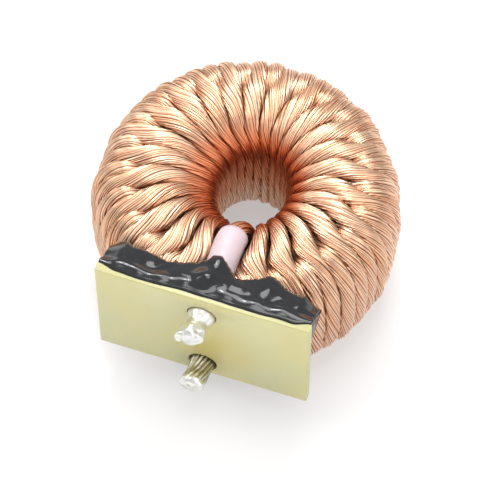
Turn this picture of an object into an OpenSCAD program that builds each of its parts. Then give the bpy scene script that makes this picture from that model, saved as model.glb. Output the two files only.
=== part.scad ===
// Power inductor: a powder ring wound with three twisted copper ropes in hand,
// bonded by its rim to an upright glass-epoxy board that carries the two tinned leads.
// The ring lies flat, its axis along Z. The board's outer face looks along -Y.

/* [Ring core] */
// Outside diameter of the coated ring
core_od = 47.6; // [44:0.2:52]
// Inside diameter of the coated ring
core_id = 23.3; // [22:0.1:26]
// Height of the coated ring
core_h = 18.9; // [14:0.1:24]
// Radius of the ring's rounded edges
core_edge_r = 2.4; // [1.6:0.1:2.6]

/* [Winding] */
// Turns of the three ropes
turns = 16; // [12:2:16]
// Rope thickness on the outer wall of the ring
rope_wall_t = 2.3; // [1.8:0.1:2.6]
// Rope thickness where it lies flattened on the two faces
rope_face_t = 2.2; // [1.8:0.1:2.4]
// Rope width where it lies flattened on the two faces
rope_face_w = 3.1; // [2.4:0.1:3.3]
// Rope thickness where it is packed inside the ring
rope_bore_t = 2.2; // [1.8:0.1:2.4]
// Share of their pitch that neighbouring ropes fill on the outer wall and inside the ring
rope_pack = 0.93; // [0.8:0.01:0.96]
// Open angle of the outer wall that the leads pass through
wall_gap = 24; // [24:1:34]
// Open angle inside the ring that the sleeved lead passes through
bore_gap = 43; // [42:1:46]
// Angle by which the outer ends of the top runs trail the inner ones
swirl = 5; // [3:0.5:5]

/* [Leads] */
// Diameter of the gathered rope ends inside the sleeve
lead_d = 4.6; // [4.6:0.1:5]
// Wall of the white sleeve
sleeve_wall = 0.55; // [0.4:0.05:0.8]
// Length of sleeve that reaches down inside the ring
sleeve_drop = 7; // [4:0.5:12]
// Diameter of the tinned ends
tin_d = 4.2; // [3.4:0.1:4.6]
// Length of the tinned ends beyond the board
tin_reach = 5.2; // [4:0.1:8]
// Distance between the two tinned ends
lead_pitch = 16.5; // [14:0.5:18]
// Sideways place of the leads and the board from the ring's axis
lead_shift = 1.5; // [0:0.1:1.6]

/* [Board] */
// Width of the board
board_w = 37; // [34:0.5:46]
// Height of the board
board_h = 24.5; // [23.5:0.5:27]
// Thickness of the board
board_t = 1.6; // [1.2:0.1:2.4]
// Diameter of the lead holes
hole_d = 5; // [4.8:0.1:5.6]
// Board height above the upper hole's centre
hole_from_top = 5; // [4:0.1:5.5]

/* [Bond] */
// Reach of the black bond from the board over the winding
bond_reach = 6.4; // [5.4:0.2:7.6]
// Depth of the bond over the highest ropes
bond_cover = 0.9; // [0.5:0.1:1.6]
// Lobes along the bond's poured edge
bond_lobes = 5; // [3:1:7]

/* [Hidden] */

// Small seat clearance between pieces that touch
seat = 0.12;
// Clearance under the lowest ropes and between layers, which their straight facets need at the bends
lay = 0.24;
// Ropes wound side by side as one conductor
ropes = 3;
passes = turns * ropes;

// Layers that the ropes form on the faces and inside the ring: neighbours take turns to lie above
layers = 2;

// Centres of the ring's rounded edges, in the plane of its section
edge_out = core_od / 2 - core_edge_r;
edge_in = core_id / 2 + core_edge_r;
edge_z = core_h / 2 - core_edge_r;

// Rope centre lines: outer wall radius, face height and inside radius of each layer
wall_r = core_od / 2 + lay + rope_wall_t / 2;
function face_z(layer) = core_h / 2 + lay + rope_face_t / 2 + layer * (rope_face_t + lay);
function bore_r(layer) = core_id / 2 - lay - rope_bore_t / 2 - layer * (rope_bore_t + lay);
// Higher layers leave the outer wall in a wider bend
bend_step = 2;
function bend_out(layer) = edge_out - layer * bend_step;

wound_r = wall_r + rope_wall_t / 2;
wound_z = face_z(layers - 1) + rope_face_t / 2;

// The sleeved lead hugs the rounded inner edge and then runs straight to the board
sleeve_d = lead_d + 2 * sleeve_wall + seat;
lead_bend = core_edge_r + seat + sleeve_d / 2;
lead_bore_y = sqrt(pow(edge_in - lead_bend, 2) - pow(lead_shift, 2));
lead_edge_y = lead_bore_y + lead_bend;
lead_z = edge_z + lead_bend;
lead_end_z = -edge_z;

// Board planes: the back face clears the first and the last rope of the winding
board_back = wound_r * cos(wall_gap / 3) + seat;
board_face = board_back + board_t;
board_top = lead_z + hole_from_top;
low_lead_z = lead_z - lead_pitch;
tip_y = board_face + tin_reach;

// The part stands on the winding's lower face, centred over its own outline
lift = wound_z;
shift = (tip_y - wound_r) / 2;

// Angles of a pass on the outer wall and inside the ring: the open sector turns with the leads
front = -90 + asin(lead_shift / (core_id / 2));
wall_pitch = (360 - wall_gap) / passes;
function wall_phi(k) = front + wall_gap / 2 - swirl + (k + 0.5) * wall_pitch;
function layer_of(k) = (k + passes) % layers;
bore_pitch = (360 - bore_gap) * layers / passes;
function bore_phi(k) = front + bore_gap / 2 + (floor(k / layers) + 0.5) * bore_pitch;

// Rope widths, from the pitch near the side of the rope where neighbours come closest
function arc(r, angle) = r * angle * PI / 180;
rope_wall_w = rope_pack * arc(wall_r - rope_wall_t / 2, wall_pitch);
function rope_bore_w(r) = min(rope_face_w, rope_pack * arc(r - rope_bore_t / 4, bore_pitch));

// Share of the way from the outer wall's angle to the inside angle at radius r
fan_start = edge_out - bend_step;
function fan(r) = max(0, min(1, (fan_start - r) / (fan_start - edge_in)));
function mix(a, b, t) = a + (b - a) * t;

// One station of a rope: radius, height, angle, normal angle in the section, width and thickness
function station(r, z, phi, tilt, w, t) = [r, z, phi, tilt, w, t];

// Layer that a pass has on a face: the lower face still has that of the turn before
function face_layer(k, side) = layer_of(side < 0 ? k - ropes : k);

// Stations on an outer bend, at angle a of the bend: 0 is the wall and 90 the face
function bend_station(k, a, side) =
    let (l = face_layer(k, side),
         c = bend_out(l),
         r = c + (wall_r - c) * cos(a),
         z = edge_z + (face_z(l) - edge_z) * sin(a))
    station(r, side * z, wall_phi(k), side * a, rope_wall_w, mix(rope_wall_t, rope_face_t, a / 90));

// Stations on an inner bend, at angle a of the bend: 90 is the face and 180 the inside wall
function throat_station(k, a, side, phi) =
    let (l = layer_of(k),
         r = edge_in + (edge_in - bore_r(l)) * cos(a),
         z = edge_z + (face_z(l) - edge_z) * sin(a),
         t = (a - 90) / 90)
    station(r, side * z, phi, side * a, rope_bore_w(r), mix(rope_face_t, rope_bore_t, t));

// Stations on a face run, at share s of the way inwards
function face_station(k, s, side, phi_wall, phi_bore) =
    let (l = layer_of(k),
         r = mix(bend_out(l), edge_in, s))
    station(r, side * face_z(l), mix(phi_wall, phi_bore, fan(r)), side * 90,
        mix(rope_wall_w, rope_bore_w(edge_in), fan(r)), rope_face_t);

// Shares of the way inwards at which a face run has a station
face_steps = [0, 0.34, 0.67];
inward = [0, 1, 2];
outward = [2, 1, 0];

// The first run comes out from under the sleeved lead
function start_run(k) =
    let (phi = wall_phi(k))
    [for (i = outward) face_station(k - ropes, face_steps[i], -1, phi, phi - 2 * swirl)];
function rise(k) = [
    for (a = [60, 30, 0]) bend_station(k, a, -1),
    for (a = [0, 30, 60]) bend_station(k, a, 1)
];
function top_run(k) = [for (i = inward) face_station(k, face_steps[i], 1, wall_phi(k), bore_phi(k))];
function fall(k) = [for (a = [90, 120, 150, 180]) throat_station(k, a, 1, bore_phi(k))];
function leave(k) = [for (a = [180, 150, 120, 90]) throat_station(k, a, -1, bore_phi(k))];
// The lower run carries the rope on to its next turn
function low_run(k) =
    [for (i = outward) face_station(k, face_steps[i], -1, wall_phi(k + ropes), bore_phi(k))];
// The last pass ends low inside the ring
function last_end(k) = [throat_station(k, 180, -1, bore_phi(k))];

function rope_path(b) = [
    each start_run(b),
    for (turn = [0 : turns - 1])
        let (k = turn * ropes + b)
        each concat(rise(k), top_run(k), fall(k),
            turn < turns - 1 ? concat(leave(k), low_run(k)) : last_end(k))
];

// Ring of points round one station: wide along the angle, thin along the section's normal
sides = 6;
flat_fix = 1 / cos(180 / sides);
function ring(s) =
    let (phi = s[2],
         along = [-sin(phi), cos(phi), 0],
         normal = [cos(phi) * cos(s[3]), sin(phi) * cos(s[3]), sin(s[3])],
         centre = [s[0] * cos(phi), s[0] * sin(phi), s[1]])
    [for (i = [0 : sides - 1])
        let (a = 360 * i / sides)
        centre + along * s[4] / 2 * cos(a) + normal * s[5] / 2 * flat_fix * sin(a)];

// Skin between neighbouring rings of points, closed from the last ring to the first where looped
function skin(count, sides, looped) = [
    for (j = [0 : looped ? count - 1 : count - 2])
        for (i = [0 : sides - 1])
            let (n = (i + 1) % sides,
                 a = j * sides,
                 b = (j + 1) % count * sides)
            each [[a + i, a + n, b + i], [a + n, b + n, b + i]]
];

// Solid body through rings of points, with flat ends
module sweep(rings) {
    count = len(rings);
    sides = len(rings[0]);
    first_cap = [for (i = [sides - 1 : -1 : 0]) i];
    last_cap = [for (i = [0 : sides - 1]) (count - 1) * sides + i];
    polyhedron(points = [for (r = rings) each r],
        faces = concat(skin(count, sides, false), [first_cap, last_cap]), convexity = 10);
}

// Hollow body through rings of points that go out along its outside and back along its inside
module hollow_sweep(rings) {
    polyhedron(points = [for (r = rings) each r],
        faces = skin(len(rings), len(rings[0]), true), convexity = 10);
}

// Places a piece that is drawn round the ring's own centre
module placed() {
    translate([0, shift, lift])
        children();
}

// Places a piece of the leads and the board
module placed_aside() {
    placed()
        translate([lead_shift, 0, 0])
            children();
}

module toroid_core() {
    color("#4a4f52")
        placed()
            rotate_extrude($fn = 96)
                core_section(0);
}

// Section of the ring, grown by a clearance
module core_section(grow) {
    r = core_edge_r + grow;
    x0 = core_id / 2 - grow;
    x1 = core_od / 2 + grow;
    h = core_h / 2 + grow;
    union() {
        translate([x0 + r, -h])
            square([x1 - x0 - 2 * r, 2 * h]);
        translate([x0, -h + r])
            square([x1 - x0, 2 * h - 2 * r]);
        for (x = [x0 + r, x1 - r])
            for (z = [-h + r, h - r])
                translate([x, z])
                    circle(r = r, $fn = 32);
    }
}

module rope(b) {
    color("#d98a5a")
        placed()
            sweep([for (s = rope_path(b)) ring(s)]);
}

module winding_rope_1() {
    rope(0);
}

module winding_rope_2() {
    rope(1);
}

module winding_rope_3() {
    rope(2);
}

// Sleeved route: place and turn of each station, up inside the ring, round its edge and out to y_end
lead_sides = 24;
lead_steps = 9;
function lead_route(z_end, y_end) = [
    [-lead_bore_y, z_end, 0],
    for (a = [0 : 90 / lead_steps : 90])
        [lead_bend * cos(a) - lead_edge_y, edge_z + lead_bend * sin(a), a],
    [-y_end, lead_z, 90]
];
function lead_ring(s, r) = [
    for (i = [0 : lead_sides - 1])
        let (a = 360 * i / lead_sides,
             out = r * sin(a))
        [-r * cos(a), s[0] + out * cos(s[2]), s[1] + out * sin(s[2])]
];

module upper_lead() {
    color("#c97b4c")
        placed_aside()
            sweep([for (s = lead_route(lead_end_z, board_back - seat)) lead_ring(s, lead_d / 2)]);
}

module lead_sleeve() {
    route = lead_route(edge_z - sleeve_drop, board_back - 2 * seat);
    last = len(route) - 1;
    color("#efeaf2")
        placed_aside()
            hollow_sweep(concat(
                [for (s = route) lead_ring(s, sleeve_d / 2)],
                [for (i = [last : -1 : 0]) lead_ring(route[i], lead_d / 2 + seat / 2)]
            ));
}

// Solder-dipped end: a bare neck through the board, a thicker dipped length and a blunt nose
module tinned_end(y_from, z) {
    nose = tin_d / 6;
    neck = board_face + 2 * seat - y_from;
    neck_r = tin_d / 2 - 3 * seat;
    dip = tip_y - nose - y_from;
    color("#d9dad6")
        placed_aside()
            translate([0, -y_from, z])
                rotate([90, 0, 0])
                    rotate_extrude($fn = 48)
                        polygon([
                            [0, 0], [neck_r, 0], [neck_r, neck], [tin_d / 2, neck],
                            [tin_d / 2, dip], [tin_d / 2 - nose, dip + nose], [0, dip + nose]
                        ]);
}

module upper_tinned_end() {
    tinned_end(board_back, lead_z);
}

module lower_tinned_end() {
    tinned_end(core_od / 2 + seat, low_lead_z);
}

module base_board() {
    color("#cdc98a")
        placed_aside()
            difference() {
                translate([-board_w / 2, -board_face, board_top - board_h])
                    cube([board_w, board_t, board_h]);
                for (z = [lead_z, low_lead_z])
                    translate([0, -board_back + seat, z])
                        rotate([90, 0, 0])
                            cylinder(d = hole_d, h = board_t + 2 * seat, $fn = 64);
            }
}

// Space taken by the winding, with the open sector at the leads left out
module winding_space() {
    difference() {
        rotate_extrude($fn = 96)
            winding_section();
        translate([0, 0, -lift - seat])
            linear_extrude(height = 2 * lift + 2 * seat)
                polygon([[0, 0], gap_point(-1), gap_point(1)]);
    }
}

// Corner of the open sector, well outside the winding
function gap_point(side) =
    let (a = front - swirl + side * (wall_gap / 2 - 0.5))
    2 * wound_r * [cos(a), sin(a)];

// Section through the wound ring: straight walls with the widest layer's bends at its corners
module winding_section() {
    c = bend_out(layers - 1);
    wide = wound_r + seat - c;
    tall = wound_z + seat - edge_z;
    polygon([
        [edge_in, -edge_z - tall],
        for (a = [90 : -15 : 0]) [c + wide * cos(a), -edge_z - tall * sin(a)],
        for (a = [0 : 15 : 90]) [c + wide * cos(a), edge_z + tall * sin(a)],
        [edge_in, edge_z + tall]
    ]);
}

// Plan of the poured bond: a straight bar along the board with a lobed edge over the winding
module bond_plan() {
    union() {
        translate([-board_w / 2, -board_back])
            square([board_w, bond_reach * 0.85]);
        for (i = [0 : bond_lobes - 1])
            let (x = (i / (bond_lobes - 1) - 0.5) * (board_w - bond_reach),
                 r = bond_reach * (i % 2 == 0 ? 0.62 : 0.5))
            translate([x, -board_back + bond_reach - r * 0.5])
                circle(r = r, $fn = 48);
    }
}

// Side view of the bond: it falls from the board's upper edge to the highest ropes
module bond_profile() {
    back = board_back;
    polygon([
        [-back, board_top - board_h + 2 * seat],
        [-back, board_top - 4 * seat],
        [-back + bond_reach / 2, wound_z + bond_cover * 1.6],
        [-back + 2 * bond_reach, wound_z + bond_cover],
        [-back + 2 * bond_reach, board_top - board_h + 2 * seat]
    ]);
}

// Poured body of the bond, before the pieces that it holds are taken out
module bond_body() {
    intersection() {
        translate([0, 0, -lift])
            linear_extrude(height = 3 * lift)
                bond_plan();
        translate([-board_w, 0, 0])
            rotate([90, 0, 90])
                linear_extrude(height = 2 * board_w)
                    bond_profile();
    }
}

// Passage of a lead of diameter d through the bond
module bond_passage(d, z) {
    translate([0, -board_back - seat, z])
        rotate([-90, 0, 0])
            cylinder(d = d, h = board_back, $fn = 48);
}

module epoxy_bond() {
    color("#2e3033")
        placed()
            difference() {
                translate([lead_shift, 0, 0])
                    difference() {
                        bond_body();
                        bond_passage(sleeve_d + seat, lead_z);
                        bond_passage(tin_d + seat, low_lead_z);
                    }
                winding_space();
                rotate_extrude($fn = 96)
                    core_section(seat);
            }
}

toroid_core();
winding_rope_1();
winding_rope_2();
winding_rope_3();
upper_lead();
lead_sleeve();
upper_tinned_end();
lower_tinned_end();
base_board();
epoxy_bond();
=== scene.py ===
import bpy
import math
import random
import numpy as np
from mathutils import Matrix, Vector, noise


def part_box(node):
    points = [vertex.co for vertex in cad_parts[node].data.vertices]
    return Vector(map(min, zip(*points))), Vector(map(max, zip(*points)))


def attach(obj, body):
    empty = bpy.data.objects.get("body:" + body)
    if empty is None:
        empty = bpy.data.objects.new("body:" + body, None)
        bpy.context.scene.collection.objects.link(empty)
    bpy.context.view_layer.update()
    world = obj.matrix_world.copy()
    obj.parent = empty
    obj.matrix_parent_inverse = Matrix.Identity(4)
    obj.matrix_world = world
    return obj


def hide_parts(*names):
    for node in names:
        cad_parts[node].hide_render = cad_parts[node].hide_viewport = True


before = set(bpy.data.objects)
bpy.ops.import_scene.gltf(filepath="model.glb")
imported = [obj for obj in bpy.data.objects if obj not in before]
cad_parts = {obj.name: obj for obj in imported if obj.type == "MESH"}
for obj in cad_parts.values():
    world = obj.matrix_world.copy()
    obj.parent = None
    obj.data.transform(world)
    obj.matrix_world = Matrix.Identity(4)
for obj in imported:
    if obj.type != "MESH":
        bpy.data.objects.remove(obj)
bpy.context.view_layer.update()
mm = 0.001
print("frame loaded:", len(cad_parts), "nodes")

# places that every piece is worked out from
coreLow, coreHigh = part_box("toroid_core")
boardLow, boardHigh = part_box("base_board")
ringCentre = (coreLow + coreHigh) / 2
coreOd = (coreHigh.x - coreLow.x) / mm
coreTall = (coreHigh.z - coreLow.z) / mm


def linear(code):
    # sRGB hex to the linear colour that the shader takes
    parts = [int(code[i:i + 2], 16) / 255 for i in (1, 3, 5)]
    return tuple(c / 12.92 if c <= 0.04045 else ((c + 0.055) / 1.055) ** 2.4 for c in parts) + (1,)


def addNode(tree, kind, values=None, links=None, **settings):
    node = tree.nodes.new(kind)
    for key, value in settings.items():
        setattr(node, key, value)
    for key, value in (values or {}).items():
        node.inputs[key].default_value = value
    for key, socket in (links or {}).items():
        tree.links.new(socket, node.inputs[key])
    return node


def newMaterial(name):
    material = bpy.data.materials.new(name)
    material.use_nodes = True
    material.node_tree.nodes.clear()
    return material, material.node_tree


def smoothStep(t):
    t = np.clip(t, 0, 1)
    return t * t * (3 - 2 * t)


# enamelled copper wire, drawn and varnished: bright metal, with painted shade in dark red where strands
# meet and a painted reflection, the red of copper mirrored in copper, down in the throat
copperLook = dict(bright="#ffe2c3", warm="#efb68e", groove="#701f07", throat="#f89c6a", rough=0.37,
                  toneMm=9, strandShare=0.7, patchShare=0.35)


def copperMaterial():
    material, tree = newMaterial("enamelledCopperWire")
    strand = addNode(tree, "ShaderNodeAttribute", attribute_name="strand")
    groove = addNode(tree, "ShaderNodeAttribute", attribute_name="groove")
    throat = addNode(tree, "ShaderNodeAttribute", attribute_name="throat")
    place = addNode(tree, "ShaderNodeTexCoord")
    patches = addNode(tree, "ShaderNodeTexNoise", {"Scale": 1 / (copperLook["toneMm"] * mm), "Detail": 2},
                      {"Vector": place.outputs["Object"]})
    mixed = addNode(tree, "ShaderNodeMath", {1: copperLook["strandShare"]}, {0: strand.outputs["Fac"]},
                    operation="MULTIPLY")
    share = addNode(tree, "ShaderNodeMath", {1: copperLook["patchShare"]},
                    {0: patches.outputs["Fac"], 2: mixed.outputs[0]}, operation="MULTIPLY_ADD")
    tone = addNode(tree, "ShaderNodeMix", {6: linear(copperLook["bright"]), 7: linear(copperLook["warm"])},
                   {0: share.outputs[0]}, data_type="RGBA")
    # painted reflection: the throat's red of copper mirrored in copper
    deep = addNode(tree, "ShaderNodeMix", {7: linear(copperLook["throat"])},
                   {0: throat.outputs["Fac"], 6: tone.outputs[2]}, data_type="RGBA")
    # painted shade: dark red between the strands
    paintedGrooveShade = addNode(tree, "ShaderNodeMix", {7: linear(copperLook["groove"])},
                   {0: groove.outputs["Fac"], 6: deep.outputs[2]}, data_type="RGBA")
    surface = addNode(tree, "ShaderNodeBsdfPrincipled", {"Metallic": 1, "Roughness": copperLook["rough"]},
                      {"Base Color": paintedGrooveShade.outputs[2]})
    addNode(tree, "ShaderNodeOutputMaterial", links={"Surface": surface.outputs[0]})
    return material


# poured black epoxy: a glassy skin that dips and swells as it set
epoxyLook = dict(deep="#0e0f11", dusty="#1f2023", rough=0.08, roughSpread=0.08, rippleMm=3.5, dustMm=1.2,
                 bumpShare=0.35, bumpMm=0.4)


def epoxyMaterial():
    material, tree = newMaterial("pouredBlackEpoxy")
    place = addNode(tree, "ShaderNodeTexCoord")
    dust = addNode(tree, "ShaderNodeTexNoise", {"Scale": 1 / (epoxyLook["dustMm"] * mm), "Detail": 4},
                   {"Vector": place.outputs["Object"]})
    tone = addNode(tree, "ShaderNodeMix", {6: linear(epoxyLook["deep"]), 7: linear(epoxyLook["dusty"])},
                   {0: dust.outputs["Fac"]}, data_type="RGBA")
    ripple = addNode(tree, "ShaderNodeTexNoise", {"Scale": 1 / (epoxyLook["rippleMm"] * mm), "Detail": 1},
                     {"Vector": place.outputs["Object"]})
    bump = addNode(tree, "ShaderNodeBump",
                   {"Strength": epoxyLook["bumpShare"], "Distance": epoxyLook["bumpMm"] * mm},
                   {"Height": ripple.outputs["Fac"]})
    rough = addNode(tree, "ShaderNodeMapRange",
                    {3: epoxyLook["rough"], 4: epoxyLook["rough"] + epoxyLook["roughSpread"]},
                    {0: dust.outputs["Fac"]})
    surface = addNode(tree, "ShaderNodeBsdfPrincipled", {"IOR": 1.5},
                      {"Base Color": tone.outputs[2], "Roughness": rough.outputs[0],
                       "Normal": bump.outputs[0]})
    addNode(tree, "ShaderNodeOutputMaterial", links={"Surface": surface.outputs[0]})
    return material


# glass-epoxy laminate, sawn: cloudy yellow-green resin over a woven glass cloth, with painted light and
# shade: lighter towards the top, darker towards the bottom, and darker on the top and right sawn faces to
# hold back the lamps' light there; the cloth is drawn coarser than it is, so that it shows
boardLook = dict(middle="#cfcb99", shade="#b3b386", edge="#b0ad7b", edgeShadeShare=0.85, bandMm=0.3,
                 warm="#cbbd7c", warmShare=0.45, cloudMm=9, cloudRange=(0.35, 0.65),
                 stain="#bfae54", stainShare=0.65, stainMm=(1, 10), stainAside=(1.2, -1.5),
                 clothMm=0.7, clothBump=0.12, clothDeepMm=0.05, rough=0.34, milky=0.25, milkyMm=1.2)
waveScale = 0.314  # the wave texture's scale for one band per metre


def boardMaterial():
    material, tree = newMaterial("glassEpoxyLaminate")
    place = addNode(tree, "ShaderNodeTexCoord")
    parts = addNode(tree, "ShaderNodeSeparateXYZ", links={0: place.outputs["Object"]})
    cloud = addNode(tree, "ShaderNodeTexNoise", {"Scale": 1 / (boardLook["cloudMm"] * mm), "Detail": 3},
                    {"Vector": place.outputs["Object"]})
    thin, thick = boardLook["cloudRange"]
    clouds = addNode(tree, "ShaderNodeMapRange", {1: thin, 2: thick}, {0: cloud.outputs["Fac"]})
    # painted light and shade: the resin is drawn darker towards the bottom and lighter towards the top
    height = addNode(tree, "ShaderNodeMapRange", {1: boardLow.z, 2: boardHigh.z}, {0: parts.outputs["Z"]})
    body = addNode(tree, "ShaderNodeMix", {6: linear(boardLook["shade"]), 7: linear(boardLook["middle"])},
                   {0: height.outputs[0]}, data_type="RGBA")
    patch = addNode(tree, "ShaderNodeMath", {1: boardLook["warmShare"]}, {0: clouds.outputs[0]},
                    operation="MULTIPLY")
    body = addNode(tree, "ShaderNodeMix", {7: linear(boardLook["warm"])},
                   {0: patch.outputs[0], 6: body.outputs[2]}, data_type="RGBA")
    # flux has yellowed the resin round the two leads
    flux = (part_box("upper_tinned_end")[0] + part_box("lower_tinned_end")[1]) / 2
    aside, lower = boardLook["stainAside"]
    middle = (flux.x + aside * mm, boardLow.y, flux.z + lower * mm)
    reach = addNode(tree, "ShaderNodeVectorMath", {1: middle}, {0: place.outputs["Object"]},
                    operation="DISTANCE")
    full, end = boardLook["stainMm"]
    stain = addNode(tree, "ShaderNodeMapRange",
                    {1: full * mm, 2: end * mm, 3: boardLook["stainShare"], 4: 0},
                    {0: reach.outputs["Value"]}, interpolation_type="SMOOTHSTEP")
    body = addNode(tree, "ShaderNodeMix", {7: linear(boardLook["stain"])},
                   {0: stain.outputs[0], 6: body.outputs[2]}, data_type="RGBA")
    # painted shade: the top and right faces are drawn darker, to hold back the lamps' light there
    band = boardLook["bandMm"] * mm
    top = addNode(tree, "ShaderNodeMapRange", {1: boardHigh.z - band, 2: boardHigh.z - band * 0.3},
                  {0: parts.outputs["Z"]}, interpolation_type="SMOOTHSTEP")
    right = addNode(tree, "ShaderNodeMapRange", {1: boardHigh.x - band, 2: boardHigh.x},
                    {0: parts.outputs["X"]}, interpolation_type="SMOOTHSTEP")
    rim = addNode(tree, "ShaderNodeMath", links={0: top.outputs[0], 1: right.outputs[0]},
                  operation="MAXIMUM")
    rim = addNode(tree, "ShaderNodeMath", {1: boardLook["edgeShadeShare"]}, {0: rim.outputs[0]},
                  operation="MULTIPLY")
    colour = addNode(tree, "ShaderNodeMix", {7: linear(boardLook["edge"])},
                     {0: rim.outputs[0], 6: body.outputs[2]}, data_type="RGBA")
    threads = waveScale / (boardLook["clothMm"] * mm)
    waves = [addNode(tree, "ShaderNodeTexWave", {"Scale": threads, "Distortion": 0.6},
                     {"Vector": place.outputs["Object"]}, bands_direction=way) for way in ("X", "Z")]
    cloth = addNode(tree, "ShaderNodeMath", links={0: waves[0].outputs["Fac"], 1: waves[1].outputs["Fac"]},
                    operation="MULTIPLY")
    bump = addNode(tree, "ShaderNodeBump",
                   {"Strength": boardLook["clothBump"], "Distance": boardLook["clothDeepMm"] * mm},
                   {"Height": cloth.outputs[0]})
    surface = addNode(tree, "ShaderNodeBsdfPrincipled",
                      {"Roughness": boardLook["rough"], "IOR": 1.55,
                       "Subsurface Weight": boardLook["milky"],
                       "Subsurface Scale": boardLook["milkyMm"] * mm},
                      {"Base Color": colour.outputs[2], "Normal": bump.outputs[0]})
    surface.inputs["Subsurface Radius"].default_value = (1.0, 0.95, 0.6)
    addNode(tree, "ShaderNodeOutputMaterial", links={"Surface": surface.outputs[0]})
    return material


# extruded silicone sleeve: milky, satin and faintly violet
sleeveLook = dict(milk="#cebdc2", shade="#c2afb5", rough=0.42, mottleMm=2.5, bumpShare=0.1, bumpMm=0.1,
                  milky=0.3, milkyMm=0.8)


def sleeveMaterial():
    material, tree = newMaterial("extrudedSiliconeSleeve")
    place = addNode(tree, "ShaderNodeTexCoord")
    mottle = addNode(tree, "ShaderNodeTexNoise", {"Scale": 1 / (sleeveLook["mottleMm"] * mm), "Detail": 3},
                     {"Vector": place.outputs["Object"]})
    tone = addNode(tree, "ShaderNodeMix", {6: linear(sleeveLook["milk"]), 7: linear(sleeveLook["shade"])},
                   {0: mottle.outputs["Fac"]}, data_type="RGBA")
    bump = addNode(tree, "ShaderNodeBump",
                   {"Strength": sleeveLook["bumpShare"], "Distance": sleeveLook["bumpMm"] * mm},
                   {"Height": mottle.outputs["Fac"]})
    surface = addNode(tree, "ShaderNodeBsdfPrincipled",
                      {"Roughness": sleeveLook["rough"], "IOR": 1.41,
                       "Subsurface Weight": sleeveLook["milky"],
                       "Subsurface Scale": sleeveLook["milkyMm"] * mm},
                      {"Base Color": tone.outputs[2], "Normal": bump.outputs[0]})
    addNode(tree, "ShaderNodeOutputMaterial", links={"Surface": surface.outputs[0]})
    return material


# dipped solder on twisted copper: bright skin, with yellowed flux in the grooves that stay open
tinLook = dict(bright="#f6f6f3", grey="#d2d1ca", flux="#84742c", rough=0.24, roughSpread=0.2, grainMm=0.8,
               bumpShare=0.4, bumpMm=0.12)


def tinMaterial():
    material, tree = newMaterial("dippedSolder")
    place = addNode(tree, "ShaderNodeTexCoord")
    groove = addNode(tree, "ShaderNodeAttribute", attribute_name="groove")
    grain = addNode(tree, "ShaderNodeTexNoise", {"Scale": 1 / (tinLook["grainMm"] * mm), "Detail": 3},
                    {"Vector": place.outputs["Object"]})
    skin = addNode(tree, "ShaderNodeMix", {6: linear(tinLook["bright"]), 7: linear(tinLook["grey"])},
                   {0: grain.outputs["Fac"]}, data_type="RGBA")
    tone = addNode(tree, "ShaderNodeMix", {7: linear(tinLook["flux"])},
                   {0: groove.outputs["Fac"], 6: skin.outputs[2]}, data_type="RGBA")
    bump = addNode(tree, "ShaderNodeBump",
                   {"Strength": tinLook["bumpShare"], "Distance": tinLook["bumpMm"] * mm},
                   {"Height": grain.outputs["Fac"]})
    rough = addNode(tree, "ShaderNodeMapRange",
                    {3: tinLook["rough"], 4: tinLook["rough"] + tinLook["roughSpread"]},
                    {0: grain.outputs["Fac"]})
    surface = addNode(tree, "ShaderNodeBsdfPrincipled", {"Metallic": 1},
                      {"Base Color": tone.outputs[2], "Roughness": rough.outputs[0],
                       "Normal": bump.outputs[0]})
    addNode(tree, "ShaderNodeOutputMaterial", links={"Surface": surface.outputs[0]})
    return material


# epoxy paint on a pressed powder ring: matt, with a fine orange-peel skin
coreLook = dict(paint="#4c5150", thin="#5d6260", rough=0.55, peelMm=0.6, bumpShare=0.3, bumpMm=0.05)


def coreMaterial():
    material, tree = newMaterial("epoxyPaintOnPressedPowder")
    place = addNode(tree, "ShaderNodeTexCoord")
    peel = addNode(tree, "ShaderNodeTexNoise", {"Scale": 1 / (coreLook["peelMm"] * mm), "Detail": 2},
                   {"Vector": place.outputs["Object"]})
    tone = addNode(tree, "ShaderNodeMix", {6: linear(coreLook["paint"]), 7: linear(coreLook["thin"])},
                   {0: peel.outputs["Fac"]}, data_type="RGBA")
    bump = addNode(tree, "ShaderNodeBump",
                   {"Strength": coreLook["bumpShare"], "Distance": coreLook["bumpMm"] * mm},
                   {"Height": peel.outputs["Fac"]})
    surface = addNode(tree, "ShaderNodeBsdfPrincipled", {"Roughness": coreLook["rough"], "IOR": 1.5},
                      {"Base Color": tone.outputs[2], "Normal": bump.outputs[0]})
    addNode(tree, "ShaderNodeOutputMaterial", links={"Surface": surface.outputs[0]})
    return material


copper = copperMaterial()
epoxy = epoxyMaterial()
glassEpoxy = boardMaterial()
silicone = sleeveMaterial()
solder = tinMaterial()
corePaint = coreMaterial()
print("materials made")


def meshPiece(name, points, faces, material, node):
    # points are in mm round the ring's own centre
    mesh = bpy.data.meshes.new(name)
    place = np.asarray(points) * mm + np.array(ringCentre)
    mesh.from_pydata(place.tolist(), [], faces)
    mesh.materials.append(material)
    mesh.shade_smooth()
    piece = bpy.data.objects.new(name, mesh)
    bpy.context.collection.objects.link(piece)
    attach(piece, "root")
    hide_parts(node)
    return piece


def tubeFaces(rings, columns):
    # quads between neighbouring rings and one closing face at each end
    faces = [(j * columns + i, j * columns + (i + 1) % columns,
              (j + 1) * columns + (i + 1) % columns, (j + 1) * columns + i)
             for j in range(rings - 1) for i in range(columns)]
    faces.append(tuple(range(columns - 1, -1, -1)))
    faces.append(tuple(range((rings - 1) * columns, rings * columns)))
    return faces


def paint(piece, name, values):
    layer = piece.data.attributes.new(name, "FLOAT", "POINT")
    layer.data.foreach_set("value", np.asarray(values, dtype=np.float32).ravel())


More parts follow.
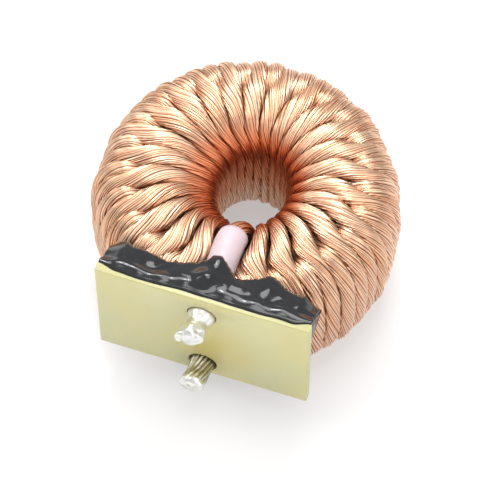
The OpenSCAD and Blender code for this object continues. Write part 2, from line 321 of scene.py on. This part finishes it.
# winding: the same route as the solid ropes, in mm and degrees
winding = dict(turns=16, ropes=3, layers=2, wallThick=2.3, faceThick=2.2, faceWide=3.1, boreThick=2.2,
               pack=0.93, wallGap=24, boreGap=43, swirl=5, lay=0.24, bendStep=2.0, edgeR=2.4, coreId=23.3)
# strands of a rope: how many, their lay, the grooves between them and how they sway along it
strandLook = dict(strands=28, perStrand=3, layMm=27, grooveMm=0.28, bulge=2.3, shift=0.5, shiftPerMm=0.11,
                  rise=0.12, risePerMm=0.17)
# lie of a rope: how far it swells past the solid's width, and how unevenly it is laid
ropeLook = dict(stepMm=1.2, wallGain=1.12, faceGain=(1.5, 1.3), boreGain=1.12, belly=0.3, lumpMm=0.45,
                shoulder=2.6, rimLayer=0.6, layerShare=0.6, fanBend=1.3, wander=1.3, settle=0.12,
                lift=0.35, liftRange=(-1, 0.6), dip=0.5, parted=9, partedRuns=4, partedWander=0.35,
                throat=2.4, throatLow=5.4, fullBend=2.15, bendStepDeg=15, faceSteps=8)
# inner layer: its ropes were pulled tight, so it lies aside and closer in at the sides of the hole
boreLook = dict(shift=(1.0, 0.3), squeeze=0.15, startR=10.5, fadeR=2.8)

leadX = (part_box("lead_sleeve")[0].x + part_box("lead_sleeve")[1].x) / 2 / mm
front = math.degrees(math.asin(leadX / (winding["coreId"] / 2))) - 90
edgeOut = coreOd / 2 - winding["edgeR"]
edgeIn = winding["coreId"] / 2 + winding["edgeR"]
edgeZ = coreTall / 2 - winding["edgeR"]
passes = winding["turns"] * winding["ropes"]
wallR = coreOd / 2 + winding["lay"] + winding["wallThick"] / 2
wallPitch = (360 - winding["wallGap"]) / passes
borePitch = (360 - winding["boreGap"]) * winding["layers"] / passes


def layerOf(k):
    return k % winding["layers"]


def faceZ(layer):
    step = winding["faceThick"] + winding["lay"]
    return coreTall / 2 + winding["lay"] + winding["faceThick"] / 2 + layer * step


def boreR(layer):
    step = winding["boreThick"] + winding["lay"]
    return winding["coreId"] / 2 - winding["lay"] - winding["boreThick"] / 2 - layer * step


def bendOut(layer):
    return edgeOut - layer * winding["bendStep"]


def wallPhi(k):
    return front + winding["wallGap"] / 2 - winding["swirl"] + (k + 0.5) * wallPitch


def borePhi(k):
    return front + winding["boreGap"] / 2 + (k // winding["layers"] + 0.5) * borePitch


fanStart = bendOut(ropeLook["rimLayer"])


def fan(r):
    # ropes keep their place on the rim for a while and draw together nearer the hole
    return min(1, max(0, (fanStart - r) / (fanStart - edgeIn))) ** ropeLook["fanBend"]


def mix(a, b, t):
    return a + (b - a) * t


wallFoot = wallR - winding["wallThick"] / 2
wallWide = winding["pack"] * math.radians(wallPitch) * wallFoot * ropeLook["wallGain"]


def boreWide(r):
    packed = winding["pack"] * math.radians(borePitch) * (r - winding["boreThick"] / 4)
    return min(winding["faceWide"], packed) * ropeLook["boreGain"]


# stations are radius, height, angle, tilt of the section's normal, width and thickness
def outerBend(k, angles, turned, lump):
    start = edgeZ - ropeLook["shoulder"]
    stations = []
    for a in angles:
        r = fanStart + (wallR + lump - fanStart) * math.cos(math.radians(a))
        z = math.copysign(start, a) + (faceZ(ropeLook["rimLayer"]) - start) * math.sin(math.radians(a))
        stations.append((r, z, wallPhi(k), turned + a, wallWide,
                         mix(winding["wallThick"], winding["faceThick"], abs(a) / 90)))
    return stations


def outerWall(k, turned, lump):
    # the rope bows out a little half way up the wall
    tall = edgeZ - ropeLook["shoulder"]
    return [(wallR + lump + ropeLook["belly"] * (1 - t * t), tall * t, wallPhi(k), turned, wallWide,
             winding["wallThick"]) for t in (-1, -0.5, 0, 0.5, 1)]


def innerBend(k, side, angles, turned, drift, lean):
    # a quarter of a full-cheeked oval, from the face down into the hole
    layer = layerOf(k)
    start = edgeZ - ropeLook["throat" if side > 0 else "throatLow"]
    power = 2 / ropeLook["fullBend"]
    stations = []
    for a in angles:
        inwards, upwards = max(0, -math.cos(math.radians(a))), max(0, math.sin(math.radians(a)))
        r = edgeIn - (edgeIn - boreR(layer)) * inwards ** power
        z = start + (faceZ(layer) + drift - start) * upwards ** power
        t = (a - 90) / 90
        tilt = turned + (a if side > 0 else 360 - a)
        stations.append((r, side * z, borePhi(k) + lean * (1 - t) ** 2, tilt, boreWide(r),
                         mix(winding["faceThick"], winding["boreThick"], t)))
    return stations


def faceRun(layer, side, shares, phiOuter, phiInner, tilt, wander, drift):
    stations = []
    for s in shares:
        r = mix(fanStart, edgeIn, s)
        hump = math.sin(math.pi * s)
        height = faceZ(mix(ropeLook["rimLayer"], layer, float(smoothStep(s / ropeLook["layerShare"]))))
        phi = mix(phiOuter, phiInner, fan(r)) + wander * hump
        wide = mix(wallWide, boreWide(edgeIn), fan(r)) * mix(1, ropeLook["faceGain"][layer], hump)
        stations.append((r, side * (height + drift * s * s), phi, tilt, wide, winding["faceThick"]))
    return stations


def ropeStations(rope):
    rng = random.Random(40 + rope)
    step = ropeLook["bendStepDeg"]
    inwards = [i / ropeLook["faceSteps"] for i in range(ropeLook["faceSteps"] + 1)]
    outwards = inwards[::-1]
    settled = -ropeLook["settle"]
    # the rope starts part way across the lower face and runs out to the rim
    path = faceRun(layerOf(rope - winding["ropes"]), -1, outwards[3:-1], wallPhi(rope),
                   wallPhi(rope) - 2 * winding["swirl"], -90, 0, settled)
    for turn in range(winding["turns"]):
        k = turn * winding["ropes"] + rope
        turned = 360 * turn
        # the ropes beside the sleeve lean towards it
        away = min(k, passes - 1 - k) // winding["layers"]
        lean = ropeLook["parted"] * max(0, 1 - away / ropeLook["partedRuns"])
        lean *= -1 if k < passes / 2 else 1
        wander = rng.uniform(-1, 1) * ropeLook["wander"] + lean * ropeLook["partedWander"]
        drift = rng.uniform(*ropeLook["liftRange"]) * ropeLook["lift"] - ropeLook["dip"]
        lump = rng.uniform(-1, 1) * ropeLook["lumpMm"]
        path += outerBend(k, range(-90, 0, step), turned, lump)
        path += outerWall(k, turned, lump)
        path += outerBend(k, range(step, 90, step), turned, lump)
        path += faceRun(layerOf(k), 1, inwards, wallPhi(k), borePhi(k) + lean, turned + 90, wander, drift)
        path += innerBend(k, 1, range(90 + step, 181, step), turned, drift, lean)
        path += innerBend(k, -1, range(180, 90, -step), turned, settled, 0)
        if turn < winding["turns"] - 1:
            path += faceRun(layerOf(k), -1, outwards, wallPhi(k + winding["ropes"]), borePhi(k),
                            turned + 270, -wander, settled)[:-1]
        else:
            path = path[:-5]  # the last turn ends down in the hole
    return np.array(path)


def routePoints(stations):
    phi, r = np.radians(stations[:, 2]), stations[:, 0]
    pulled = smoothStep((boreLook["startR"] - r) / boreLook["fadeR"])
    x = r * np.cos(phi) * (1 - pulled * boreLook["squeeze"]) + pulled * boreLook["shift"][0]
    y = r * np.sin(phi) + pulled * boreLook["shift"][1]
    return np.stack([x, y, stations[:, 1]], axis=1)


def evenStations(stations, step):
    # the same route with stations at even spacing along it, its corners eased
    steps = np.linalg.norm(np.diff(routePoints(stations), axis=0), axis=1)
    along = np.concatenate([[0], np.cumsum(steps)])
    keep = np.concatenate([[True], np.diff(along) > 1e-6])
    along, stations = along[keep], stations[keep]
    even = np.linspace(0, along[-1], int(along[-1] / step) + 1)
    spaced = np.stack([np.interp(even, along, column) for column in stations.T], axis=1)
    spaced[1:-1] = (spaced[:-2] + 2 * spaced[1:-1] + spaced[2:]) / 4
    return even, spaced


def sectionPoints(wide, thick, around, bulge):
    # points and outward directions at even shares of the way round a flattened section
    a = np.linspace(0, 2 * math.pi, 97)
    x = wide / 2 * np.sign(np.cos(a)) * np.abs(np.cos(a)) ** (2 / bulge)
    y = thick / 2 * np.sign(np.sin(a)) * np.abs(np.sin(a)) ** (2 / bulge)
    length = np.concatenate([[0], np.cumsum(np.hypot(np.diff(x), np.diff(y)))])
    at = (around % 1) * length[-1]
    px, py = np.interp(at, length, x), np.interp(at, length, y)
    nx = np.sign(px) * np.abs(2 * px / wide) ** (bulge - 1) / wide
    ny = np.sign(py) * np.abs(2 * py / thick) ** (bulge - 1) / thick
    size = np.hypot(nx, ny) + 1e-9
    return px, py, nx / size, ny / size


def strandRings(centres, sideways, normals, widths, thicks, along, look, seed):
    # a rope's skin: each column of points follows one strand round and along the rope
    rng = np.random.default_rng(seed)
    count, per = look["strands"], look["perStrand"]
    columns = count * per
    crown = np.abs(np.sin(np.pi * (np.arange(columns) % per / per)))  # 0 in a groove
    points = np.zeros((len(along), columns, 3))
    phases = rng.uniform(0, 2 * math.pi, (count, 2))
    for j, s in enumerate(along):
        sway = np.sin(phases[:, 0] + s * look["shiftPerMm"]) * look["shift"]
        rise = np.sin(phases[:, 1] + s * look["risePerMm"]) * look["rise"]
        around = (np.arange(columns) + np.repeat(sway, per) * per) / columns + s / look["layMm"]
        px, py, nx, ny = sectionPoints(widths[j], thicks[j], around, look["bulge"])
        out = np.repeat(rise, per) * crown - look["grooveMm"] * (1 - crown)
        px, py = px + nx * out, py + ny * out
        points[j] = centres[j] + np.outer(px, sideways[j]) + np.outer(py, normals[j])
    # painted shade: the grooves between strands get a dark red, fullest at each groove's floor
    groove = np.tile((1 - crown) ** 2, (len(along), 1))
    tone = np.tile(np.repeat(rng.uniform(0, 1, count), per), (len(along), 1))
    return points, groove, tone


# throat: a painted reflection, the red of copper mirrored in copper, that sets in on the inner slope and
# fades below
throatReflectionLook = dict(startR=11.7, fadeR=3.2, lowZ=-4, fadeZ=7, most=0.85)


def throatReflectionShare(points):
    inwards = (throatReflectionLook["startR"] - np.hypot(points[..., 0], points[..., 1])) / throatReflectionLook["fadeR"]
    upwards = (points[..., 2] - throatReflectionLook["lowZ"]) / throatReflectionLook["fadeZ"]
    return smoothStep(inwards) * smoothStep(upwards) * throatReflectionLook["most"]


def windingRope(rope):
    along, stations = evenStations(ropeStations(rope), ropeLook["stepMm"])
    phi, tilt = np.radians(stations[:, 2]), np.radians(stations[:, 3])
    sideways = np.stack([-np.sin(phi), np.cos(phi), 0 * phi], axis=1)
    normals = np.stack([np.cos(phi) * np.cos(tilt), np.sin(phi) * np.cos(tilt), np.sin(tilt)], axis=1)
    points, groove, tone = strandRings(routePoints(stations), sideways, normals, stations[:, 4],
                                       stations[:, 5], along, strandLook, 70 + rope)
    faces = tubeFaces(len(along), points.shape[1])
    node = "winding_rope_%d" % (rope + 1)
    piece = meshPiece("windingRope%d" % (rope + 1), points.reshape(-1, 3), faces, copper, node)
    # painted shade in the grooves, and the throat's painted reflection
    paint(piece, "groove", groove)
    paint(piece, "strand", tone)
    paint(piece, "throat", throatReflectionShare(points))
    print("rope", rope + 1, "length mm", round(along[-1]), "faces", len(faces))
    return piece


for rope in range(winding["ropes"]):
    windingRope(rope)


# board: sawn laminate with two drilled holes, its places from the solid
board = dict(edgeMm=0.18, holeMm=5.0, drillMm=10)


def baseBoard():
    bpy.ops.object.select_all(action="DESELECT")
    middle, size = (boardLow + boardHigh) / 2, boardHigh - boardLow
    bpy.ops.mesh.primitive_cube_add(size=1, location=middle)
    piece = bpy.context.object
    piece.name = "glassEpoxyBoard"
    piece.scale = size
    bpy.ops.object.transform_apply(location=True, rotation=False, scale=True)
    for node in ("upper_tinned_end", "lower_tinned_end"):
        low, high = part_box(node)
        centre = (low + high) / 2
        bpy.ops.mesh.primitive_cylinder_add(vertices=64, radius=board["holeMm"] / 2 * mm,
                                            depth=board["drillMm"] * mm,
                                            location=(centre.x, middle.y, centre.z),
                                            rotation=(math.pi / 2, 0, 0))
        drill = bpy.context.object
        cut = piece.modifiers.new("hole", "BOOLEAN")
        cut.operation = "DIFFERENCE"
        cut.object = drill
        bpy.ops.object.select_all(action="DESELECT")
        bpy.context.view_layer.objects.active = piece
        piece.select_set(True)
        bpy.ops.object.modifier_apply(modifier="hole")
        bpy.data.objects.remove(drill)
    soft = piece.modifiers.new("sawnEdges", "BEVEL")
    soft.width = board["edgeMm"] * mm
    soft.segments = 2
    soft.limit_method = "ANGLE"
    bpy.ops.object.modifier_apply(modifier="sawnEdges")
    bpy.ops.object.shade_smooth_by_angle(angle=math.radians(35))
    piece.data.materials.clear()
    piece.data.materials.append(glassEpoxy)
    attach(piece, "root")
    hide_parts("base_board")
    return piece


baseBoard()
print("board made")

# lead: the sleeved route, as in the solid, with a slimmer lead that leans aside
leadLook = dict(leadMm=4.6, wallMm=0.55, seatMm=0.12, slimMm=0.3, leanMm=1.1, leanBend=1.5, stepMm=1.0,
                strands=26, layMm=30, reflectionShare=0.4)
# sleeve: cut off where the lead turns down, and neither quite round nor quite even
sleeve = dict(cutDeg=66, columns=48, stepMm=0.4, swell=0.012, swellPerMm=0.9, flat=0.03, flatPerMm=0.35)
sleeveMm = leadLook["leadMm"] + 2 * leadLook["wallMm"] + leadLook["seatMm"]
leadBend = winding["edgeR"] + leadLook["seatMm"] + sleeveMm / 2
boardBack = (ringCentre.y - boardHigh.y) / mm
leadEdge = math.sqrt((edgeIn - leadBend) ** 2 - leadX ** 2) + leadBend
boardTop = (boardHigh.z - ringCentre.z) / mm
boardFoot = (boardLow.z - ringCentre.z) / mm


def leadRoute(zEnd, yEnd, step):
    # centres and normals from the low end inside the ring, round its edge and out to the board
    rise = edgeZ - zEnd
    arc = leadBend * math.pi / 2
    run = yEnd - leadEdge
    total = rise + arc + run
    along = np.linspace(0, total, int(total / step) + 1)
    turn = np.clip((along - rise) / arc, 0, 1) * math.pi / 2
    y = -leadEdge + leadBend * np.cos(turn) - np.clip(along - rise - arc, 0, None)
    z = edgeZ + leadBend * np.sin(turn) - np.clip(rise - along, 0, None)
    lean = leadLook["leanMm"] * (1 - turn / (math.pi / 2)) ** leadLook["leanBend"]
    centres = np.stack([leadX + lean, y, z], axis=1)
    normals = np.stack([0 * y, np.cos(turn), np.sin(turn)], axis=1)
    sideways = np.tile([1.0, 0, 0], (len(along), 1))
    return along, centres, sideways, normals


def upperLead():
    # the three rope ends gathered under the sleeve
    look = dict(strandLook, strands=leadLook["strands"], layMm=leadLook["layMm"], bulge=2)
    end = boardBack - leadLook["seatMm"]
    along, centres, sideways, normals = leadRoute(-edgeZ, end, leadLook["stepMm"])
    size = np.full(len(along), leadLook["leadMm"] - 2 * leadLook["slimMm"])
    points, groove, tone = strandRings(centres, sideways, normals, size, size, along, look, 90)
    faces = tubeFaces(len(along), points.shape[1])
    piece = meshPiece("gatheredLead", points.reshape(-1, 3), faces, copper, "upper_lead")
    # painted shade in the grooves, and a weaker share of the throat's painted reflection
    paint(piece, "groove", groove)
    paint(piece, "strand", tone)
    paint(piece, "throat", throatReflectionShare(points) * leadLook["reflectionShare"])
    return piece


def leadSleeve():
    # an outer and an inner skin joined by a rounded rim at each end
    end = boardBack - 2 * leadLook["seatMm"]
    along, centres, sideways, normals = leadRoute(edgeZ, end, sleeve["stepMm"])
    keep = np.arctan2(normals[:, 2], normals[:, 1]) >= math.radians(sleeve["cutDeg"])
    along, centres, sideways, normals = along[keep], centres[keep], sideways[keep], normals[keep]
    columns = sleeve["columns"]
    a = np.arange(columns) / columns * 2 * math.pi
    outer = sleeveMm / 2 - leadLook["slimMm"]
    inner = leadLook["leadMm"] / 2 - leadLook["slimMm"] + leadLook["seatMm"] / 2
    middle = (outer + inner) / 2
    last = len(along) - 1
    rows = [(0, middle)] + [(j, outer) for j in range(last + 1)] + [(last, middle)]
    rows += [(j, inner) for j in range(last, -1, -1)]
    points = []
    for j, radius in rows:
        swell = 1 + sleeve["swell"] * math.sin(along[j] * sleeve["swellPerMm"])
        flat = 1 - sleeve["flat"] * math.sin(along[j] * sleeve["flatPerMm"])
        points.append(centres[j] + np.outer(np.cos(a) * radius * swell, sideways[j])
                      + np.outer(np.sin(a) * radius * flat, normals[j]))
    faces = [(r * columns + i, (r + 1) % len(rows) * columns + i,
              (r + 1) % len(rows) * columns + (i + 1) % columns, r * columns + (i + 1) % columns)
             for r in range(len(rows)) for i in range(columns)]
    return meshPiece("whiteSleeve", np.concatenate(points), faces, silicone, "lead_sleeve")


upperLead()
leadSleeve()
print("lead and sleeve made")

# tinned ends: twisted strands, partly drowned in solder, with a ragged tip; the places along them
# are shares of the length that stands out of the board
upperTin = dict(strands=13, fill=0.97, swell=0.3, lean=-0.5, flange=1.12, neck=0.88, tip=1.02, seed=5)
lowerTin = dict(strands=15, fill=0.0, swell=0.18, lean=-0.3, flange=1, neck=0.95, tip=1, seed=9)
tinShape = dict(rings=44, perStrand=6, twistPerMm=1.3, grooveMm=0.36, neckAt=0.35, tipAt=0.65,
                drownFrom=0.55, drownTo=0.85, noseFrom=0.82, noseLeast=0.35, grain=0.08, ragMm=0.25)


def tinnedEnd(name, node, look):
    low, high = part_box(node)
    centre = ((low + high) / 2 - ringCentre) / mm
    start, tip = (high.y - ringCentre.y) / mm, (low.y - ringCentre.y) / mm
    radius = (high.x - low.x) / 2 / mm
    rings, columns = tinShape["rings"], look["strands"] * tinShape["perStrand"]
    neckAt, tipAt, noseFrom = tinShape["neckAt"], tinShape["tipAt"], tinShape["noseFrom"]
    drownFrom, drownOver = tinShape["drownFrom"], tinShape["drownTo"] - tinShape["drownFrom"]
    points, groove = [], []
    free = (boardLow.y - ringCentre.y) / mm
    for j in range(rings + 1):
        y = mix(start, tip, j / rings)
        out = max(0, (free - y) / (free - tip))
        drowned = mix(look["fill"], 1, smoothStep((out - drownFrom) / drownOver))
        nose = math.sqrt(max(0, 1 - max(0, (out - noseFrom) / (1 - noseFrom)) ** 2))
        girth = mix(look["flange"], look["neck"], smoothStep(out / neckAt))
        girth = mix(girth, look["tip"], smoothStep((out - neckAt) / (tipAt - neckAt)))
        girth *= mix(tinShape["noseLeast"], 1, nose)
        for i in range(columns):
            a = i / columns * 2 * math.pi
            wave = abs(math.sin(look["strands"] * a / 2 + y * tinShape["twistPerMm"]))
            lump = noise.noise(Vector((math.cos(a) * 1.2 + look["seed"], y * 0.55, math.sin(a) * 1.2)))
            rough = noise.noise(Vector((math.cos(a) * 3 + look["seed"], y * 1.7, math.sin(a) * 3)))
            r = radius * (1 + look["swell"] * lump * out + tinShape["grain"] * rough * out)
            r = (r - (1 - wave) * tinShape["grooveMm"] * (1 - drowned)) * girth
            points.append((centre.x + look["lean"] * out * out * radius + r * math.cos(a),
                           y - tinShape["ragMm"] * rough * out, centre.z + r * math.sin(a)))
            groove.append(mix(0.35, 1, (1 - wave) ** 1.5) * (1 - drowned))
    piece = meshPiece(name, points, tubeFaces(rings + 1, columns), solder, node)
    paint(piece, "groove", groove)
    return piece


tinnedEnd("upperTinnedEnd", "upper_tinned_end", upperTin)
tinnedEnd("lowerTinnedEnd", "lower_tinned_end", lowerTin)
print("tinned ends made")

# bond: black epoxy poured behind the board, over the winding's rim and round the sleeve, in mm;
# each lobe of its poured edge is a place along the board, a further reach and a width
bond = dict(columns=260, steps=28, reach=5.9, fall=2.0, bulge=0.35, ripple=0.7, ripplePerMm=0.3,
            moundHigh=1.3, moundWide=3.6, moundAt=0.4, fringe=0.4, fringeMm=0.7, footUp=0.3, inset=0.2,
            film=0.22, filmEdge=0.05, filmRound=0.4, over=0.9, overRipple=0.35, overPerMm=0.2, overKept=0.1,
            lip=0.16, lipMm=1.1, clear=0.2, blend=1.6, endMm=3.2, droop=3.0, endDeep=6.5,
            lobes=((-17, 1.2, 1.8), (-8, -0.8, 2.5), (0, 2.3, 2.2), (4, -0.6, 1.5), (9.3, 1.9, 2.4)))


def windingHeight(x, y):
    # height of the wound rim over a place in plan
    r = math.hypot(x, y)
    rim = ropeLook["rimLayer"]
    c, start = bendOut(rim), edgeZ - ropeLook["shoulder"]
    share = min(1, max(0, (r - c) / (wallR + winding["wallThick"] / 2 - c)))
    inwards = float(smoothStep((c - r) / (c - edgeIn) / ropeLook["layerShare"]))
    top = faceZ(mix(rim, 1, inwards)) + winding["faceThick"] / 2
    return start + (top - start) * math.sqrt(1 - share * share)


def bell(x, wide):
    return math.exp(-(x / wide) ** 2)


def bondReach(x, share):
    # the pour's edge is lobed, and ragged only along its thin outermost part
    lobes = sum(further * bell(x - at, wide) for at, further, wide in bond["lobes"])
    ragged = noise.noise(Vector((x / bond["fringeMm"], 3.1, 0))) * bond["fringe"]
    return bond["reach"] + lobes + ragged * float(smoothStep((share - 0.8) / 0.2))


def softMax(a, b):
    return max(a, b) + math.log(1 + math.exp(-abs(a - b) * bond["blend"])) / bond["blend"]


def bondProfile(x, halfWide):
    # down at the two ends the pour droops and holds only the board's upper part
    ending = float(smoothStep((abs(x) - halfWide + bond["endMm"]) / bond["endMm"]))
    reach = bondReach(x, 1)
    top = boardTop + bond["film"]
    foot = mix(boardFoot + bond["footUp"], top - bond["endDeep"], ending)
    inside = min(boardBack - 2, boardBack - math.sqrt(max(0, wallR ** 2 - (x + leadX) ** 2)))
    # a thin film creeps over the board's top edge
    over = bond["over"] + bond["overRipple"] * noise.noise(Vector((x * bond["overPerMm"], 1.7, 4)))
    over *= mix(1, bond["overKept"], ending)
    profile = [(0, foot + (boardTop - foot) * i / 10) for i in range(11)] + [(-over, boardTop + 0.02)]
    fine = bond["ripplePerMm"]
    for i in range(bond["steps"] + 1):
        share = i / bond["steps"]
        d = mix(-over, bondReach(x, share), share)
        swell = bond["bulge"] + bond["ripple"] * noise.noise(Vector((x * fine, d * fine, 7)))
        swell *= math.sin(math.pi * share) * float(smoothStep((d + over) / 2))
        mound = bond["moundHigh"] * bell(x - bond["moundAt"], bond["moundWide"]) * float(smoothStep(d / 3))
        least = windingHeight(x + leadX, d - boardBack) + bond["clear"]
        level = top - (bond["fall"] + bond["droop"] * ending) * share
        z = mix(top, softMax(level, least), float(smoothStep(d / 2)))
        z -= (bond["film"] - bond["filmEdge"]) * (1 - float(smoothStep((d + over) / bond["filmRound"])))
        lip = max(0, (share - 1 + bond["lip"]) / bond["lip"])
        profile.append((d, z + swell + mound - bond["lipMm"] * (1 - math.sqrt(max(0, 1 - lip * lip)))))
    # under the edge the pour turns in and down to the board's foot
    under = min(profile[-1][1] - 0.6, windingHeight(x + leadX, reach - boardBack) - 1.2)
    under = max(under, foot + 0.8)
    profile.append((reach + 0.05, (profile[-1][1] + under) / 2))
    profile.append((reach - 0.3, under))
    inner = max(0.4, min(reach - 0.8, inside))
    profile.append((inner, max(foot + 0.4, under - 2)))
    profile.append((inner, foot))
    return profile


def epoxyBond():
    halfWide = (boardHigh.x - boardLow.x) / 2 / mm - bond["inset"]
    points = []
    for i in range(bond["columns"] + 1):
        x = halfWide * (2 * i / bond["columns"] - 1)
        profile = bondProfile(x, halfWide)
        points += [(x + leadX, -boardBack + d, z) for d, z in profile]
    faces = tubeFaces(bond["columns"] + 1, len(profile))
    piece = meshPiece("blackEpoxyBond", points, faces, epoxy, "epoxy_bond")
    bpy.ops.object.select_all(action="DESELECT")
    bpy.context.view_layer.objects.active = piece
    piece.select_set(True)
    bpy.ops.object.mode_set(mode="EDIT")
    bpy.ops.mesh.select_all(action="SELECT")
    bpy.ops.mesh.normals_make_consistent(inside=False)
    bpy.ops.object.mode_set(mode="OBJECT")
    return piece


epoxyBond()
print("bond made")

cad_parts["toroid_core"].data.materials.clear()
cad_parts["toroid_core"].data.materials.append(corePaint)

# studio: pale paper floor, a soft sky that dims towards the horizon, four softboxes and a small
# strip; each lamp has its watts, its size and its place in metres
studio = dict(paper="#eeeded", floorM=3.0, fibreMm=16.7, glow=0.42, horizon=0.6, zenith=0.9,
              lamps=(("keySoftbox", 3.0, 0.4, (-0.12, 0.4, 0.6)),
                     ("fillSoftbox", 1.2, 0.5, (0.47, -0.26, 0.36)),
                     ("topSoftbox", 1.0, 0.25, (0.03, 0.05, 0.7)),
                     ("stripLamp", 0.45, 0.06, (-0.14, 0.3, 0.5)),
                     ("sideSoftbox", 1.1, 0.35, (-0.5, 0.0, 0.45))))


def paperFloor():
    bpy.ops.object.select_all(action="DESELECT")
    bpy.ops.mesh.primitive_plane_add(size=studio["floorM"], location=(0, 0, 0))
    floor = bpy.context.object
    floor.name = "paperFloor"
    material, tree = newMaterial("mattWhitePaper")
    place = addNode(tree, "ShaderNodeTexCoord")
    fibre = addNode(tree, "ShaderNodeTexNoise", {"Scale": 1 / (studio["fibreMm"] * mm), "Detail": 3},
                    {"Vector": place.outputs["Object"]})
    bump = addNode(tree, "ShaderNodeBump", {"Strength": 0.02, "Distance": 0.1 * mm},
                   {"Height": fibre.outputs["Fac"]})
    surface = addNode(tree, "ShaderNodeBsdfPrincipled",
                      {"Base Color": linear(studio["paper"]), "Roughness": 0.7},
                      {"Normal": bump.outputs[0]})
    # seen straight on or mirrored, the paper glows a little, for a white background
    # with no more light on the part
    rays = addNode(tree, "ShaderNodeLightPath")
    mirrored = addNode(tree, "ShaderNodeMath", operation="MAXIMUM",
                       links={0: rays.outputs["Is Glossy Ray"], 1: rays.outputs["Is Transmission Ray"]})
    anySeen = addNode(tree, "ShaderNodeMath", operation="MAXIMUM",
                      links={0: rays.outputs["Is Camera Ray"], 1: mirrored.outputs[0]})
    seen = addNode(tree, "ShaderNodeMath", {1: studio["glow"]}, {0: anySeen.outputs[0]},
                   operation="MULTIPLY")
    white = addNode(tree, "ShaderNodeEmission", {"Color": (1, 1, 1, 1), "Strength": 1.0})
    both = addNode(tree, "ShaderNodeMixShader",
                   links={0: seen.outputs[0], 1: surface.outputs[0], 2: white.outputs[0]})
    addNode(tree, "ShaderNodeOutputMaterial", links={"Surface": both.outputs[0]})
    floor.data.materials.append(material)


def softLamp(name, watts, size, spot):
    lamp = bpy.data.lights.new(name, "AREA")
    lamp.energy = watts
    lamp.size = size
    holder = bpy.data.objects.new(name, lamp)
    holder.location = spot
    holder.rotation_euler = (ringCentre - Vector(spot)).to_track_quat("-Z", "Y").to_euler()
    bpy.context.collection.objects.link(holder)


def studioWorld():
    world = bpy.data.worlds.new("softStudio")
    bpy.context.scene.world = world
    world.use_nodes = True
    tree = world.node_tree
    tree.nodes.clear()
    sky = addNode(tree, "ShaderNodeTexCoord")
    parts = addNode(tree, "ShaderNodeSeparateXYZ", links={0: sky.outputs["Generated"]})
    strength = addNode(tree, "ShaderNodeMapRange", {1: 0, 2: 1, 3: studio["horizon"], 4: studio["zenith"]},
                       {0: parts.outputs["Z"]})
    light = addNode(tree, "ShaderNodeBackground", {"Color": (1, 1, 1, 1)},
                    {"Strength": strength.outputs[0]})
    addNode(tree, "ShaderNodeOutputWorld", links={"Surface": light.outputs[0]})


paperFloor()
studioWorld()
for name, watts, size, spot in studio["lamps"]:
    softLamp(name, watts, size, spot)
print("studio made")

# camera: the photograph's angle, with the ring's centre at its place in the picture
cameraView = dict(azimuth=18.6, elevation=60.0, distanceMm=480, focalPx=2780, ringPx=(246.5, 213.5),
                  imagePx=480, sensorMm=36)


def photoCamera():
    a, e = math.radians(cameraView["azimuth"]), math.radians(cameraView["elevation"])
    back = Vector((math.sin(a) * math.cos(e), -math.cos(a) * math.cos(e), math.sin(e)))
    turn = (-back).to_track_quat("-Z", "Y")
    perPx = cameraView["distanceMm"] * mm / cameraView["focalPx"]
    half = cameraView["imagePx"] / 2
    side = turn @ Vector((1, 0, 0)) * (half - cameraView["ringPx"][0]) * perPx
    rise = turn @ Vector((0, 1, 0)) * (cameraView["ringPx"][1] - half) * perPx
    lens = bpy.data.cameras.new("photoCamera")
    lens.sensor_width = cameraView["sensorMm"]
    lens.lens = cameraView["focalPx"] / cameraView["imagePx"] * lens.sensor_width
    holder = bpy.data.objects.new("photoCamera", lens)
    holder.rotation_euler = turn.to_euler()
    holder.location = ringCentre + side + rise + back * cameraView["distanceMm"] * mm
    bpy.context.collection.objects.link(holder)
    bpy.context.scene.camera = holder


photoCamera()
bpy.context.scene.view_settings.view_transform = "Standard"
